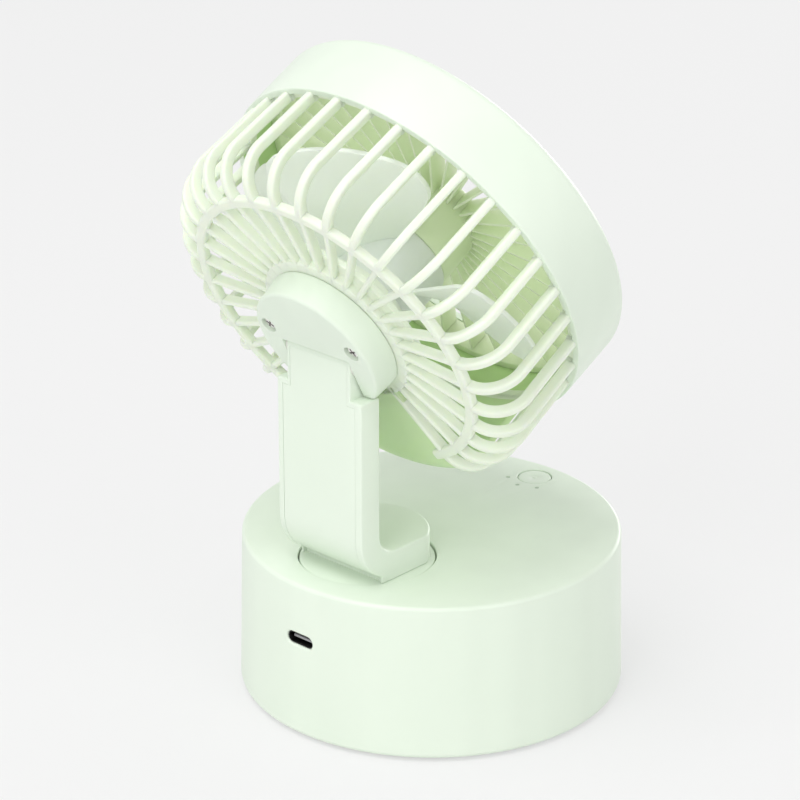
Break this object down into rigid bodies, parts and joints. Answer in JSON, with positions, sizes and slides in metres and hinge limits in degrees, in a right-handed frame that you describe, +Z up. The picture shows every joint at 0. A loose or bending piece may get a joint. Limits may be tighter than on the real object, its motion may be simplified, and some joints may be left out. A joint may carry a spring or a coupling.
{
  "type": "desk fan",
  "caption": "Rechargeable desk fan: a round drum base with a turning arm and a tilting head, with a ribbed rear cage, a radial front grille, a push button and a charging socket.",
  "frame": {"origin": "centre of the anti-slip pad's underside, on the surface the fan stands on", "axes": "+Z up; the fan blows towards -Y and upwards at rest; the arm and the charging socket are on the +Y side; +X is to the right when looking along +Y"},
  "size_m": [0.111, 0.1128, 0.184],
  "materials": {
    "shell_mint": "smooth satin moulding, pale mint",
    "grille_mint": "smooth satin moulding, pale mint, a little translucent",
    "arm_mint": "smooth satin moulding, pale mint",
    "blade_milky": "milky translucent moulding",
    "pad_rubber": "matt soft rubber",
    "screw_steel": "zinc-plated pan head",
    "pin_steel": "ground pin",
    "motor_can": "plated can, satin",
    "fan_motor_can": "plated can, satin",
    "cell_sleeve": "thin plastic sleeve over a metal can",
    "gear_nylon": "plain moulded nylon",
    "circuit_board": "lacquered circuit board",
    "switch_black": "plain black moulding",
    "socket_steel": "drawn steel shell",
    "light_clear": "clear moulded light guides"
  },
  "bodies": {
    "base": {"base_shell": "shell_mint", "base_cover": "shell_mint", "anti_slip_pad": "pad_rubber", "base_screws": "screw_steel", "battery_cell": "cell_sleeve", "tactile_switch": "switch_black", "light_pipes": "light_clear", "board_lights": "light_clear", "control_board": "circuit_board", "board_screws": "screw_steel", "socket_shell": "socket_steel", "socket_tongue": "switch_black", "charge_board": "circuit_board", "charge_board_screws": "screw_steel", "swivel_motor": "motor_can", "swivel_motor_screws": "screw_steel", "turntable_washer": "gear_nylon"},
    "button": {"power_button": "shell_mint", "switch_plunger": "switch_black"},
    "drive": {"drive_shaft": "pin_steel", "drive_pinion": "gear_nylon"},
    "arm": {"turntable": "shell_mint", "swivel_gear": "gear_nylon", "gear_screws": "screw_steel", "foot_screws": "screw_steel", "arm_frame": "arm_mint", "arm_rear_cover": "arm_mint", "tilt_axle": "pin_steel", "friction_washers": "gear_nylon"},
    "head": {"front_shroud": "shell_mint", "front_grille": "grille_mint", "rear_grille": "grille_mint", "hinge_bracket": "shell_mint", "bracket_screws": "screw_steel", "fan_motor": "fan_motor_can"},
    "rotor": {"fan_shaft": "pin_steel", "impeller": "blade_milky"}
  },
  "joints": [
    {"name": "swivel", "type": "hinge", "parent": "base", "child": "arm", "pos_m": [0, 0.0255, 0.044], "axis": [0, 0, 1], "range_deg": [-45, 45]},
    {"name": "drive_turn", "type": "hinge", "parent": "base", "child": "drive", "pos_m": [0, 0.0047, 0.035], "axis": [0, 0, 1], "range_deg": [-150, 150]},
    {"name": "tilt", "type": "hinge", "parent": "arm", "child": "head", "pos_m": [0, 0.04, 0.10705], "axis": [-1, 0, 0], "range_deg": [-27.5, 60]},
    {"name": "fan_spin", "type": "hinge", "parent": "head", "child": "rotor", "pos_m": [0, -0.00793, 0.13583], "axis": [0, -0.887, 0.4617], "continuous": true},
    {"name": "button_press", "type": "slide", "parent": "base", "child": "button", "axis": [0, 0, -1], "range_m": [0, 0.0004], "stiffness_N_per_m": 800, "springref_m": -0.0002}
  ],
  "couplings": [
    {"joint": "drive_turn", "follows": "swivel", "ratio": -3.3333}
  ]
}
